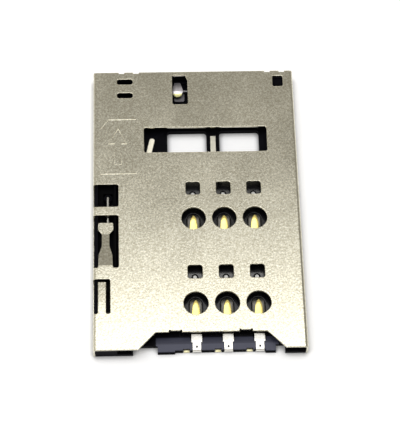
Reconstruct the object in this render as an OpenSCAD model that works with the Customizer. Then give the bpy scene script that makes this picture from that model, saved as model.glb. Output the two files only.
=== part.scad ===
// Push-push socket for a 25 x 15 mm SIM card.
// A folded sheet-metal shield snaps over a moulded housing that carries six
// spring contacts, a card-detect switch and the eject mechanism: a slider with
// a heart-shaped cam track, a coil spring behind it and a wire pin that follows
// the track.
//
// Pieces are drawn in a corner frame: x from the left outer wall, y from the
// shield's front edge towards the back, z from the circuit board. Module placed()
// then puts the origin in the middle of the underside. A card goes in along +y.

/* [Card] */
// Width of the card
card_w = 15; // [14:0.1:16]
// Length of the card
card_l = 25; // [24:0.1:26]
// Thickness of the card
card_t = 0.76; // [0.7:0.01:0.84]
// Size of the card's cut corner
corner_cut = 3; // [2.7:0.1:3.2]
// Spacing of the contact pads across the card
pad_pitch = 2.54; // [2.44:0.02:2.7]
// Distance between the two rows of contact pads
row_pitch = 7.62; // [7.4:0.02:7.8]
// Middle column of pads to the card's plain side
pad_from_side = 6.14; // [5.8:0.02:6.4]
// Front row of pads to the card's outer end
pad_from_end = 5; // [4.8:0.05:5.2]

/* [Shield] */
// Thickness of the sheet
sheet_t = 0.15; // [0.12:0.01:0.2]
// Inner radius of the two long folds
bend_r = 0.15; // [0.1:0.01:0.2]
// Diameter of the round hole over each contact
contact_hole_d = 2; // [1.7:0.05:2.2]
// Side of the square hole behind each contact
square_hole = 1.19; // [1:0.01:1.3]
// Square hole's centre behind its contact
square_hole_back = 2.77; // [2.6:0.01:2.9]
// Depth of the thumb cut-out in the front edge
thumb_cut_depth = 1.45; // [1.2:0.05:1.6]
// Width of the front leg left of the thumb cut-out
left_leg_w = 3.58; // [3.2:0.02:3.9]
// Width of the front leg right of the thumb cut-out
right_leg_w = 1.79; // [1.6:0.01:2]
// Distance of the long view window from the left wall
view_x = 4.3; // [4.1:0.05:4.5]
// Width of the long view window
view_w = 10.4; // [10:0.05:10.8]
// Distance of the view window from the front edge
view_y = 17.78; // [17.5:0.02:18]
// Length of the view window, along the card
view_l = 2.37; // [2.2:0.01:2.5]
// Gap between the side walls and the board
board_gap = 0.15; // [0.1:0.01:0.2]

/* [Housing] */
// Thickness of the floor
floor_t = 0.5; // [0.45:0.01:0.6]
// Free height above the card in its slot
height_play = 0.09; // [0.06:0.01:0.15]
// Free width on each side of the card
side_play = 0.06; // [0.04:0.01:0.1]
// Width taken by the eject mechanism, left of the slot
mech_w = 1.78; // [1.76:0.01:1.9]
// Thickness of the outer wall beside the mechanism
wall_t = 0.23; // [0.2:0.01:0.25]
// Thickness of the floor under the mechanism
channel_floor = 0.3; // [0.26:0.01:0.34]
// Thickness of the rear wall
rear_wall_t = 0.5; // [0.4:0.02:0.6]
// Room behind the card's end at full depth, rear wall included
rear_room = 1.12; // [1.05:0.01:1.3]
// Length of the card's end that stays out when locked
card_overhang = 1.06; // [0.9:0.02:1.2]

/* [Contacts] */
// Thickness of the contact strip
contact_t = 0.12; // [0.1:0.01:0.14]
// Width of the contact's spring arm at its root
arm_w = 0.87; // [0.8:0.01:0.9]
// Width of the arm at the contact point
arm_tip_w = 0.6; // [0.5:0.01:0.64]
// Length of the arm from its root to the contact point
arm_l = 2.6; // [2.4:0.05:2.7]
// Height of the contact point above the floor
arm_rise = 0.62; // [0.5:0.01:0.66]
// Length of the solder feet under the base
foot_l = 0.3; // [0.25:0.01:0.4]

/* [Mechanism] */
// Slider travel between ejected and locked
eject_stroke = 3.4; // [3:0.05:3.5]
// Travel past the locked place that frees the pin
overtravel = 0.6; // [0.5:0.02:0.65]
// Sideways throw of the cam track at full travel
cam_throw = 0.38; // [0.34:0.01:0.4]
// Diameter of the cam pin's wire
pin_d = 0.26; // [0.22:0.01:0.28]
// Cam pin to the left outer wall
pin_x = 1.22; // [1.2:0.01:1.24]
// Cam pin's pivot to the front edge
pivot_y = 13.85; // [13.7:0.01:14]
// Length of the cam pin from leg to leg
pin_l = 5.25; // [5.2:0.01:5.35]
// Outer diameter of the eject spring
spring_d = 0.82; // [0.74:0.01:0.86]
// Wire diameter of the eject spring
spring_wire = 0.12; // [0.1:0.01:0.14]
// Working turns of the eject spring
spring_turns = 13; // [10:1:16]

/* [Hidden] */
$fn = 48;

// Clearances
fit = 0.02;        // between pieces that are assembled and stay put
run = 0.03;        // between pieces that slide
inlay = 0.01;      // around metal that is moulded in
reach = 1;         // how far a cut runs past what it cuts

// Heights
slot_h = card_t + height_play;
cover_z = floor_t + slot_h;
total_h = cover_z + sheet_t;
wall_top = cover_z - fit;

// Across the card
overall_w = 2 * sheet_t + mech_w + card_w + 2 * side_play;
slot_left = sheet_t + mech_w;
card_left = slot_left + side_play;
slot_right = overall_w - sheet_t;
middle_x = card_left + card_w - pad_from_side;
house_left = sheet_t + fit;
house_right = slot_right - fit;
channel_left = house_left + wall_t;

// Along the card
front_row_y = pad_from_end - card_overhang;
rear_row_y = front_row_y + row_pitch;
card_end = card_l - card_overhang;
travel = eject_stroke + overtravel;
shield_l = card_end + overtravel + rear_room;
house_front = 0.06;
block_front = house_front + 0.04;
mouth_front = house_front + 0.16;
house_rear = shield_l - 0.2;
rear_wall_y = house_rear - rear_wall_t;

// Windows and tongues along the shield's left edge
leaf_root_y = 7.2;
leaf_window_l = 4.74;
leaf_x = 1.03;
window_w = 2.1;
window_sill = 0.72;
pivot_window_y = pivot_y - 1.12;
pivot_window_l = 2.06;
lance_root_y = 3.15;
lance_window_l = 3.02;
lance_window_w = 1.4;
lance_x = 0.74;
lance_w = 0.66;
lance_l = 2.8;

// Mechanism
pin_r = pin_d / 2;
cam_z = 0.8;
pin_z = cam_z + fit + pin_r;
track_w = pin_d + 2 * fit;
track_depth = 0.3;
island_from = 2;
tip_y = pivot_y - pin_l;
boss_d = 0.66;
slider_left = channel_left + run;
slider_right = slot_left - run;
slider_z = channel_floor + fit;
slider_top = cover_z - 0.07;
slider_front = 2.75;
nose_block_l = 1.6;
guide_rib_w = 0.15;
shoulder_l = 0.35;
shoulder_y = pivot_window_y + pivot_window_l + 0.06 + shoulder_l;
arm_left = slider_right - 0.45;
nose_tip_x = 3.4;
nose_face_y = card_end - eject_stroke - corner_cut + 0.1 - (card_left - slider_right);
nose_back_y = nose_face_y + (nose_tip_x - slider_right) + 0.45;
nose_z = floor_t + run;
spring_x = (slider_left + arm_left) / 2;
spring_z = slider_z + spring_d / 2 + fit;
spigot_d = spring_d - 2 * spring_wire - 2 * fit;
spigot_l = 0.7;

// Contacts
foot_bend_r = 0.1;
lip_back = 0.12;
lip_z = floor_t - 0.1;
riser_y = mouth_front + contact_t / 2;
foot_y = riser_y + foot_l;
tail_share = 0.64;
lead_in_y = riser_y + tail_share * (front_row_y - arm_l - riser_y);
tail_w = 0.67;
pilot_y = riser_y + 0.29;
pilot_d = 0.18;
arm_taper_l = 1.9;
arm_drop = 0.02;
arm_tail = 0.5;
arm_bend_r = 1.6;
pocket_gap = 0.1;
pocket_end = arm_tail + 0.3;
pocket_floor = 0.12;
gate_back = square_hole_back - 0.08;
gate_d = 0.58;
gate_stub_d = 0.34;
gate_depth = 0.25;
root_l = 0.9;
lead_w = 0.46;
lead_offset = 0.84;
lead_foot_y = mouth_front + 0.02;
foot_bare = 0.2;
lead_drop_y = mouth_front + 0.4;
foot_gap = 0.05;
lead_z = floor_t - 0.08 - contact_t / 2;

// Card-detect switch
blade_x = 10.17;
blade_lead_w = 0.46;
blade_y = card_end + 0.14;
blade_t = 0.1;
blade_h = 0.34;
blade_top = 0.9;
nose_x = 7.24;
nose_w = 0.85;
nose_wide = 1;
nose_tail_w = 0.5;
nose_y = blade_y - 0.52;
nose_lip = 0.2;
nose_fall = 0.14;
nose_crest_y = nose_y + 0.36;
nose_recess = 0.32;
anvil_slope = 0.235;
anvil_x = 4.69;
anvil_y = view_y + 0.52;
anvil_lead_w = 0.45;
anvil_pad_w = 0.88;
anvil_pad_y = nose_y - 0.26;
anvil_bar_y = anvil_pad_y + 0.4;
switch_foot_y = rear_row_y + 3.44;
bare_rear = view_y + view_l - 0.28;

function unit(v) = v / norm(v);
function left_of(v) = [-v[1], v[0]];

// Point i of a path moved sideways by d, with mitred corners
function beside(path, i, d) =
    let (last = len(path) - 1,
        before = left_of(unit(path[max(i, 1)] - path[max(i, 1) - 1])),
        after = left_of(unit(path[min(i, last - 1) + 1] - path[min(i, last - 1)])),
        mitre = unit(before + after))
    path[i] + mitre * d / (mitre * after);

// The arc of radius r that rounds the corner at b of the line a, b, c
function corner_arc(a, b, c, r, steps) =
    let (u = unit(a - b), v = unit(c - b),
        half = acos(u * v) / 2,
        centre = b + unit(u + v) * r / sin(half),
        from = b + u * r / tan(half) - centre,
        to = b + v * r / tan(half) - centre,
        start = atan2(from[1], from[0]),
        turn = atan2(to[1], to[0]) - start,
        sweep = turn > 180 ? turn - 360 : turn < -180 ? turn + 360 : turn)
    [for (i = [0:steps]) let (angle = start + sweep * i / steps)
        centre + r * [cos(angle), sin(angle)]];

// A line of points with every inner corner rounded
function rounded_path(p, r, steps = 5) =
    concat([p[0]],
        [for (i = [1:len(p) - 2]) each corner_arc(p[i - 1], p[i], p[i + 1], r, steps)],
        [p[len(p) - 1]]);

// A band of thickness t along a path
module ribbon(path, t)
    polygon([for (i = [0:len(path) - 1]) beside(path, i, t / 2),
        for (i = [len(path) - 1:-1:0]) beside(path, i, -t / 2)]);

// Extrudes an x-z outline along y
module along_y(l) translate([0, l, 0]) rotate([90, 0, 0]) linear_extrude(l) children();

// Extrudes a y-z outline along x
module along_x(w) rotate([90, 0, 90]) linear_extrude(w) children();

// A strip bent along y, trimmed to the plan outline given as its child
module bent_strip(path, t)
    intersection() {
        along_x(overall_w) ribbon(path, t);
        linear_extrude(total_h + reach) children();
    }

module rounded_rect(x0, y0, w, l, r) {
    translate([x0 + r, y0]) square([w - 2 * r, l]);
    translate([x0, y0 + r]) square([w, l - 2 * r]);
    for (x = [x0 + r, x0 + w - r], y = [y0 + r, y0 + l - r])
        translate([x, y]) circle(r);
}

module box(x0, y0, z0, x1, y1, z1)
    translate([x0, y0, z0]) cube([x1 - x0, y1 - y0, z1 - z0]);

module placed() translate([-overall_w / 2, -shield_l / 2, 0]) children();

// Shield

// Section of the folded sheet's outside or inside, with round top corners
module fold_outline(inset, low, r) {
    high = total_h - inset;
    translate([inset, low]) square([overall_w - 2 * inset, high - low - r]);
    translate([inset + r, low]) square([overall_w - 2 * (inset + r), high - low]);
    for (x = [inset + r, overall_w - inset - r])
        translate([x, high - r]) circle(r);
}

module folded_sheet()
    along_y(shield_l) difference() {
        fold_outline(0, board_gap, bend_r + sheet_t);
        fold_outline(sheet_t, -reach, bend_r);
    }

tab_l = 1.4;
tab_ys = [0.5, shield_l - 0.9 - tab_l];

module solder_tabs()
    for (x = [0, overall_w - sheet_t], y = tab_ys)
        box(x, y, 0, x + sheet_t, y + tab_l, board_gap + fit);

// A cut down through the plate, of the plan outline given as its child
module through_plate()
    translate([0, 0, cover_z - fit]) linear_extrude(sheet_t + reach) children();

module thumb_cut_outline()
    polygon([[left_leg_w, -reach], [left_leg_w, 0],
        [left_leg_w + thumb_cut_depth, thumb_cut_depth],
        [overall_w - right_leg_w - thumb_cut_depth, thumb_cut_depth],
        [overall_w - right_leg_w, 0], [overall_w - right_leg_w, -reach]]);

// Where the blank was sheared from its carrier: a set-back edge with a relief at each end
carrier_w = 1.05;
carrier_set_back = 0.12;
relief_w = 0.14;
module front_carrier_cut(x) {
    translate([x, thumb_cut_depth - reach]) square([carrier_w, reach + carrier_set_back]);
    for (side = [0, carrier_w - relief_w])
        translate([x + side, thumb_cut_depth - reach])
            square([relief_w, reach + carrier_set_back + relief_w / 2]);
}

front_carrier_xs = [left_leg_w + 2.5, overall_w - right_leg_w - 2.62 - carrier_w];

rear_relief_w = 0.46;
rear_stub_w = 0.78;
module rear_carrier_cut(x)
    for (side = [0, rear_relief_w + rear_stub_w])
        translate([x + side, shield_l - carrier_set_back]) square([rear_relief_w, reach]);

slot_pair_x = 2.04;
slot_pair_w = 1.34;
slot_pair_l = 0.5;
slot_pair_ys = [shield_l - 2.56, shield_l - 1.21];

detect_x = nose_x - 0.45;
detect_y = nose_y - 1.14;
detect_w = 1.3;
detect_l = 2.87;

// The window over the detect switch, with one clipped corner
module detect_window()
    difference() {
        rounded_rect(detect_x, detect_y, detect_w, detect_l, 0.15);
        translate([detect_x + detect_w, detect_y + detect_l])
            polygon([[-0.24, 0.1], [0.1, 0.1], [0.1, -0.5], [0, -0.5]]);
    }

module plate_holes() {
    for (column = [-1:1], row = [front_row_y, rear_row_y])
        translate([middle_x + column * pad_pitch, row]) {
            circle(d = contact_hole_d);
            rounded_rect(-square_hole / 2, square_hole_back - square_hole / 2,
                square_hole, square_hole, 0.2);
        }
    rounded_rect(view_x, view_y, view_w, view_l, 0.15);
    for (y = slot_pair_ys)
        rounded_rect(slot_pair_x, y, slot_pair_w, slot_pair_l, 0.2);
    detect_window();
    rounded_rect(overall_w - 1.75, shield_l - 1.56, 0.86, 1.03, 0.1);
}

// A window in the left edge, cut through the fold down to the sill
module edge_window(y, w, l)
    translate([0, 0, window_sill]) linear_extrude(total_h) {
        translate([-reach, y]) square([reach + w / 2, l]);
        rounded_rect(0, y, w, l, 0.14);
    }

latch_l = 1.8;
latch_low = 0.12;
latch_high = 0.42;
latch_ys = [4, shield_l / 2 - latch_l / 2, shield_l - 4 - latch_l];

module shield_cuts() {
    through_plate() {
        thumb_cut_outline();
        for (x = front_carrier_xs) front_carrier_cut(x);
        for (x = [slot_pair_x + 0.16, overall_w - 2.41]) rear_carrier_cut(x);
        plate_holes();
    }
    edge_window(pivot_window_y, window_w, pivot_window_l);
    edge_window(leaf_root_y, window_w, leaf_window_l);
    edge_window(lance_root_y, lance_window_w, lance_window_l);
    for (y = latch_ys)
        box(slot_right - reach, y, latch_low, overall_w + reach, y + latch_l, latch_high);
}

leaf_root_w = 1.22;
leaf_neck_w = 0.65;
leaf_head_w = 1.3;
leaf_flare_y = leaf_root_y + 1.15;
leaf_neck_y = leaf_root_y + 2.02;
leaf_head_y = leaf_root_y + 3.12;
leaf_tip_y = leaf_root_y + 4.18;
plate_mid = cover_z + sheet_t / 2;
leaf_head_z = pin_z + pin_r + fit + sheet_t / 2;

// Rounded inner corners where a tongue of width w leaves the plate
module root_fillets(x, y, w, r)
    difference() {
        translate([x - w / 2 - r, y - sheet_t]) square([w + 2 * r, r + sheet_t]);
        for (side = [-1, 1])
            translate([x + side * (w / 2 + r), y + r]) circle(r);
    }

module leaf_outline() {
    root_fillets(leaf_x, leaf_root_y, leaf_root_w, 0.1);
    translate([leaf_x, 0]) polygon([
        [-leaf_root_w / 2, leaf_root_y - sheet_t], [leaf_root_w / 2, leaf_root_y - sheet_t],
        [leaf_root_w / 2 - 0.04, leaf_flare_y], [leaf_neck_w / 2, leaf_neck_y],
        [leaf_neck_w / 2, leaf_head_y], [leaf_head_w / 2, leaf_head_y + 0.4],
        [leaf_head_w / 2, leaf_tip_y - 0.1], [leaf_head_w / 2 - 0.1, leaf_tip_y],
        [0.1 - leaf_head_w / 2, leaf_tip_y], [-leaf_head_w / 2, leaf_tip_y - 0.1],
        [-leaf_head_w / 2, leaf_head_y + 0.4], [-leaf_neck_w / 2, leaf_head_y],
        [-leaf_neck_w / 2, leaf_neck_y], [0.04 - leaf_root_w / 2, leaf_flare_y]]);
}

// The leaf spring that keeps the cam pin in its track
module leaf_spring()
    bent_strip(rounded_path([[leaf_root_y - sheet_t, plate_mid], [leaf_root_y + 0.2, plate_mid],
        [leaf_head_y, leaf_head_z], [leaf_tip_y + reach, leaf_head_z]], 0.8), sheet_t)
        leaf_outline();

// The tongue that holds the slider's front end down
module lance()
    bent_strip(rounded_path([[lance_root_y - sheet_t, plate_mid], [lance_root_y + 0.4, plate_mid],
        [lance_root_y + lance_l, plate_mid - 0.06]], 0.8), sheet_t) {
        translate([lance_x - lance_w / 2, lance_root_y - sheet_t])
            square([lance_w, lance_l + sheet_t]);
        root_fillets(lance_x, lance_root_y, lance_w, 0.16);
    }

module shield()
    color("#b4ae9c") {
        difference() {
            union() {
                folded_sheet();
                solder_tabs();
            }
            shield_cuts();
        }
        leaf_spring();
        lance();
    }

// Housing

notch_left_x = 3.18;
notch_left_w = 1.98;
notch_right_x = overall_w - right_leg_w;
notch_right_w = 0.76;
notch_depth = 0.64;
lip_left = notch_left_x + notch_left_w + 1.38;
lip_right = middle_x + pad_pitch + 0.43;

module floor_outline()
    difference() {
        translate([house_left, house_front])
            square([house_right - house_left, house_rear - house_front]);
        translate([notch_left_x, house_front - reach])
            square([notch_left_w, reach + notch_depth]);
        translate([notch_right_x - notch_right_w, house_front - reach])
            square([notch_right_w, reach + notch_depth]);
        translate([notch_left_x, house_front - reach])
            square([notch_right_x - notch_left_x, reach + block_front - house_front]);
        translate([lip_left, house_front - reach])
            square([lip_right - lip_left, reach + mouth_front - house_front]);
    }

// Blocks that fill the shield's left windows and hook over their sills
module left_latches()
    for (window = [[pivot_window_y, pivot_window_l], [leaf_root_y, leaf_window_l],
            [lance_root_y, lance_window_l]])
        box(sheet_t / 2, window[0] + 3 * fit, window_sill + 2 * fit,
            channel_left, window[0] + window[1] - 3 * fit, wall_top - 0.08);

// Ramps on the floor's right edge that snap into the shield's wall
module right_latches()
    for (y = latch_ys)
        translate([house_right, y + 3 * fit, 0]) along_y(latch_l - 6 * fit)
            polygon([[-fit, latch_low + fit], [sheet_t - fit, latch_high - 0.08],
                [sheet_t - fit, latch_high - fit], [-fit, latch_high - fit]]);

// Walls that stand up to the cover, rounded to fit inside its folds
module walls()
    intersection() {
        union() {
            box(house_left, house_front, 0, channel_left, house_rear, wall_top);
            box(house_left, house_front, 0, slot_left, slider_front - run, wall_top);
            box(house_left, rear_wall_y, 0, house_right, house_rear, wall_top);
            box(overall_w - 1.72, rear_wall_y - 0.6, 0, overall_w - 0.93, rear_wall_y + fit,
                wall_top - 0.12);
        }
        along_y(shield_l) fold_outline(sheet_t + fit, 0, bend_r);
    }

module mechanism_channel()
    box(channel_left, slider_front - run, channel_floor, slot_left, rear_wall_y, total_h);

module lead_in_chamfer()
    translate([slot_left, 0, 0]) along_x(overall_w)
        polygon([[-reach, 0], [0, lip_z - 0.04], [mouth_front, lip_z], [lead_in_y, floor_t],
            [lead_in_y, floor_t + reach], [-reach, floor_t + reach]]);

// The middle lobe's front face leans back towards the lip, and its ends stand further out
module lip_slope() {
    lobe_left = notch_left_x + notch_left_w - fit;
    lobe_right = notch_right_x - notch_right_w + fit;
    for (face = [[lip_left, lip_right, mouth_front], [lobe_left, lobe_right, block_front]])
        translate([face[0], 0, 0]) along_x(face[1] - face[0])
            polygon([[-reach, -fit], [face[2], -fit], [face[2] + lip_back, lip_z],
                [face[2] + lip_back, floor_t], [-reach, floor_t]]);
}

// Plan of the pocket that an arm dips into: it tapers as the arm does, to a round end
module pocket_outline() {
    root_half = arm_w / 2 + pocket_gap;
    end_r = arm_tip_w / 2 + 1.5 * pocket_gap;
    polygon([[-root_half, 2 * fit - arm_l], [root_half, 2 * fit - arm_l],
        [root_half, -arm_taper_l], [end_r, pocket_end - end_r],
        [-end_r, pocket_end - end_r], [-root_half, -arm_taper_l]]);
    translate([0, pocket_end - end_r]) circle(end_r);
}

// The pocket under a contact and the gate mark behind it, a stub in a ring
module contact_pocket(x, y) {
    translate([x, y, pocket_floor]) linear_extrude(total_h) pocket_outline();
    translate([x, y + gate_back, floor_t - gate_depth]) linear_extrude(reach)
        difference() {
            circle(d = gate_d);
            circle(d = gate_stub_d);
        }
}

// Room for a front contact's tail and root, flush in the floor, and for its foot below
module tail_groove(x) {
    groove_z = floor_t - contact_t - inlay;
    riser_front = riser_y - contact_t / 2 - inlay;
    root_end = front_row_y - arm_l + 3 * fit;
    translate([x - tail_w / 2 - inlay, 0, 0]) along_x(tail_w + 2 * inlay)
        polygon([[riser_front, lip_z - contact_t - inlay], [lead_in_y, groove_z],
            [root_end, groove_z], [root_end, floor_t + reach], [riser_front, floor_t + reach]]);
    box(x - tail_w / 2 - inlay, riser_front, -reach,
        x + tail_w / 2 + inlay, riser_y + contact_t / 2 + foot_bend_r, lip_z);
    box(x - tail_w / 2 - foot_gap, riser_front, -reach,
        x + tail_w / 2 + foot_gap, foot_y + foot_gap, contact_t + foot_gap);
    box(x - arm_w / 2 - inlay, lead_in_y - inlay, groove_z,
        x + arm_w / 2 + inlay, root_end, floor_t + reach);
    box(x - arm_w / 2 - pocket_gap, lead_in_y + pocket_gap, groove_z,
        x + arm_w / 2 + pocket_gap, root_end, floor_t + reach);
}

// A rear contact's lead: a foot on the board, then up into the floor
function lead_path(from, to) =
    rounded_path([[from, contact_t / 2], [lead_drop_y, contact_t / 2],
        [lead_drop_y + 0.5, lead_z], [to, lead_z]], foot_bend_r);

// Plan of a lead, grown by the moulding's room
module lead_outline(x, from, to, grow)
    translate([x - lead_offset - lead_w / 2 - grow, from])
        square([lead_w + 2 * grow, to - from]);

// Room for a rear contact's root and lead, inside the floor
module lead_tunnel(x) {
    root_end = rear_row_y - arm_l;
    bent_strip(lead_path(-reach, root_end), contact_t + 2 * inlay)
        lead_outline(x, -reach, root_end, inlay);
    inlay_box(x - lead_offset - lead_w / 2, root_end - root_l,
        x + arm_w / 2, root_end + 3 * fit, lead_z, contact_t);
}

// The notch in the front edge that bares a rear contact's foot, and the arch behind it
module foot_arch(x) {
    left = x - lead_offset - lead_w / 2 - foot_gap;
    right = x - lead_offset + lead_w / 2 + foot_gap;
    box(left, -reach, -reach, right, lead_drop_y, contact_t + foot_gap);
    box(left, -reach, -reach, right, mouth_front + foot_bare, floor_t + reach);
}

// A flat strip's box with moulding room on every side
module inlay_box(x0, y0, x1, y1, z, t)
    box(x0 - inlay, y0 - inlay, z - t / 2 - inlay, x1 + inlay, y1 + inlay, z + t / 2 + inlay);

bar_w = 1.09;
opening_left = 6.27;
opening_right = overall_w - 3.1;
opening_front = rear_row_y + square_hole_back + 1.69;
opening_rear = view_y + view_l + 0.16;
module floor_openings()
    translate([0, 0, -reach]) linear_extrude(floor_t + 2 * reach)
        for (span = [[opening_left, blade_x - bar_w / 2], [blade_x + bar_w / 2, opening_right]])
            rounded_rect(span[0], opening_front, span[1] - span[0],
                opening_rear - opening_front, 0.25);

// Where the moulding leaves the switch leads bare, and the space the switch moves in
module switch_room() {
    inlay_box(blade_x - blade_lead_w / 2, switch_foot_y + 0.7,
        blade_x + blade_lead_w / 2, blade_y + blade_t, lead_z, contact_t);
    box(blade_x - blade_lead_w / 2 - 0.06, switch_foot_y - 0.1, -reach,
        blade_x + blade_lead_w / 2 + 0.06, switch_foot_y + 1, floor_t + reach);
    box(blade_x - blade_lead_w / 2, view_y - 0.4, lead_z, blade_x + blade_lead_w / 2,
        bare_rear, floor_t + reach);
    box(nose_x - 0.65, anvil_pad_y - 0.2, lead_z - contact_t / 2 - inlay, nose_x + 1,
        rear_wall_y + 0.06, floor_t + reach);
    box(nose_x - 0.65, blade_y - 0.25, lead_z - contact_t / 2 - inlay,
        blade_x + blade_lead_w / 2 + 0.1, rear_wall_y + 0.06, floor_t + reach);
    box(nose_x - 0.65, rear_wall_y - fit, floor_t - fit, blade_x + blade_lead_w / 2 + 0.1,
        rear_wall_y + 0.06, total_h);
    box(detect_x - 0.1, rear_wall_y, floor_t - fit, detect_x + detect_w + 0.1,
        rear_wall_y + nose_recess, total_h);
    translate([0, 0, lead_z - contact_t / 2 - inlay]) linear_extrude(contact_t + 2 * inlay)
        anvil_lead_outline(inlay);
    box(anvil_foot_x - anvil_lead_w / 2 - 0.06, switch_foot_y - 0.1, -reach,
        anvil_foot_x + anvil_lead_w / 2 + 0.06, switch_foot_y + 1.3, floor_t + reach);
    bare_end = bare_rear - 0.17 - anvil_lead_w / 2;
    translate([0, 0, lead_z]) linear_extrude(floor_t) {
        intersection() {
            anvil_lead_outline(inlay);
            translate([0, view_y - 0.6]) square([overall_w, bare_end - view_y + 0.6]);
        }
        translate([anvil_at(bare_end), bare_end]) circle(d = anvil_lead_w);
    }
}

module pivot_boss()
    translate([pin_x, pivot_y, 0]) difference() {
        cylinder(d = boss_d, h = cam_z);
        translate([0, 0, channel_floor]) cylinder(d = pin_d + 2 * fit, h = total_h);
    }

module spring_spigot(y, l)
    translate([spring_x, y, spring_z]) rotate([-90, 0, 0]) cylinder(d = spigot_d, h = l);

module housing()
    color("#202024") {
        difference() {
            union() {
                linear_extrude(floor_t) floor_outline();
                walls();
                left_latches();
                right_latches();
            }
            mechanism_channel();
            lead_in_chamfer();
            lip_slope();
            for (column = [-1:1]) {
                x = middle_x + column * pad_pitch;
                tail_groove(x);
                lead_tunnel(x);
                foot_arch(x);
                for (row = [front_row_y, rear_row_y]) contact_pocket(x, row);
            }
            floor_openings();
            switch_room();
        }
        pivot_boss();
        spring_spigot(rear_wall_y - spigot_l, spigot_l + fit);
    }

// Contacts

// Plan outline of a spring arm, from its root to its bullet-shaped tip
module arm_outline(x, y)
    translate([x, y]) polygon(concat(
        [[-arm_w / 2, -arm_taper_l], [-arm_w / 2, -arm_l - fit],
            [arm_w / 2, -arm_l - fit], [arm_w / 2, -arm_taper_l]],
        [for (angle = [0:12:180]) [arm_tip_w / 2 * cos(angle), arm_tail * sin(angle)]]));

// The arm's line from the root up to the contact point and down to the tip
function arm_path(y, root_z) =
    [[y - arm_l, root_z], [y - 0.1, floor_t + arm_rise], [y + arm_tail + 0.1,
        floor_t + arm_rise - arm_drop]];

module front_contact(column) {
    x = middle_x + column * pad_pitch;
    root_z = floor_t - contact_t / 2;
    root_end = front_row_y - arm_l;
    path = concat(
        rounded_path([[foot_y, contact_t / 2], [riser_y, contact_t / 2],
            [riser_y, lip_z - contact_t / 2], [lead_in_y, root_z]], foot_bend_r),
        rounded_path(concat([[lead_in_y + fit, root_z]], arm_path(front_row_y, root_z)), arm_bend_r));
    color("#d9c27a") difference() {
        bent_strip(path, contact_t) {
            translate([x - tail_w / 2, riser_y - contact_t])
                square([tail_w, lead_in_y - riser_y + contact_t + fit]);
            translate([x - arm_w / 2, lead_in_y]) square([arm_w, root_end - lead_in_y]);
            arm_outline(x, front_row_y);
        }
        translate([x, pilot_y, lip_z - contact_t]) cylinder(d = pilot_d, h = reach);
    }
}

module rear_contact(column) {
    x = middle_x + column * pad_pitch;
    root_end = rear_row_y - arm_l;
    color("#d9c27a") {
        bent_strip(rounded_path(concat([[root_end - root_l, lead_z]],
            arm_path(rear_row_y, lead_z)), arm_bend_r), contact_t) {
            translate([x - arm_w / 2, root_end - root_l]) square([arm_w, root_l]);
            arm_outline(x, rear_row_y);
        }
        box(x - lead_offset - lead_w / 2, root_end - root_l, lead_z - contact_t / 2,
            x, root_end - 0.1, lead_z + contact_t / 2);
        bent_strip(lead_path(lead_foot_y, root_end - 0.1), contact_t)
            lead_outline(x, lead_foot_y, root_end - 0.1, 0);
    }
}

// Card-detect switch

module switch_blade()
    color("#c9c3ad") {
        left = blade_x - blade_lead_w / 2;
        right = blade_x + blade_lead_w / 2;
        bent_strip(rounded_path([[switch_foot_y, contact_t / 2],
            [switch_foot_y + 0.5, contact_t / 2], [switch_foot_y + 0.8, lead_z],
            [blade_y + blade_t, lead_z]], foot_bend_r), contact_t)
            translate([left, switch_foot_y]) square([blade_lead_w, blade_y + blade_t - switch_foot_y]);
        box(left, blade_y, lead_z - contact_t / 2, right, blade_y + blade_t, blade_top);
        box(nose_x + 0.2, blade_y, blade_top - blade_h, right, blade_y + blade_t,
            blade_top - blade_t);
        bent_strip(rounded_path([[nose_y - fit, blade_top - nose_lip],
            [nose_crest_y, blade_top - blade_t / 2], [rear_wall_y - fit, blade_top - nose_fall]],
            0.8), blade_t)
            nose_outline();
    }

// Plan of the blade's nose: round in front, widest over the blade, narrow behind
module nose_outline()
    translate([nose_x, nose_y + nose_w / 2]) {
        circle(d = nose_w);
        polygon([[nose_w / 2, 0], [nose_wide / 2, blade_y - nose_y - nose_w / 2],
            [nose_tail_w / 2, rear_wall_y - nose_y - nose_w / 2],
            [-nose_tail_w / 2, rear_wall_y - nose_y - nose_w / 2],
            [-nose_wide / 2, blade_y - nose_y - nose_w / 2], [-nose_w / 2, 0]]);
    }

function anvil_at(y) = anvil_x + anvil_slope * (y - anvil_y);
anvil_foot_x = anvil_at(switch_foot_y + 1.4);

// The anvil's slanted lead, and the pad under the blade's nose
module anvil_lead_outline(grow) {
    half = anvil_lead_w / 2 + grow;
    start = switch_foot_y + 1.2;
    corner = anvil_bar_y + anvil_lead_w / 2;
    polygon([[anvil_at(start) - half, start], [anvil_at(start) + half, start],
        [anvil_at(corner) + half, corner], [anvil_at(corner) - half, corner]]);
    translate([anvil_at(anvil_bar_y) - half, anvil_bar_y - grow])
        square([nose_x - anvil_at(anvil_bar_y) + half, anvil_lead_w + 2 * grow]);
    rounded_rect(nose_x + 0.15 - anvil_pad_w / 2 - grow, anvil_pad_y - grow,
        anvil_pad_w + 2 * grow, anvil_bar_y + anvil_lead_w - anvil_pad_y + 2 * grow, 0.15);
}

module switch_anvil()
    color("#c9c3ad") {
        translate([0, 0, lead_z - contact_t / 2]) linear_extrude(contact_t) anvil_lead_outline(0);
        bent_strip(rounded_path([[switch_foot_y, contact_t / 2],
            [switch_foot_y + 0.6, contact_t / 2], [switch_foot_y + 0.95, lead_z],
            [switch_foot_y + 1.3, lead_z]], foot_bend_r), contact_t)
            translate([anvil_foot_x - anvil_lead_w / 2, switch_foot_y])
                square([anvil_lead_w, 1.3]);
    }

// Eject mechanism

// A groove of the cam track's width from a to b, with round ends
module track(a, b) {
    run_l = norm(b - a);
    translate(a) rotate(atan2(b[1] - a[1], b[0] - a[0])) {
        translate([0, -track_w / 2]) square([run_l, track_w]);
        for (end = [0, run_l]) translate([end, 0]) circle(d = track_w);
    }
}

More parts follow.
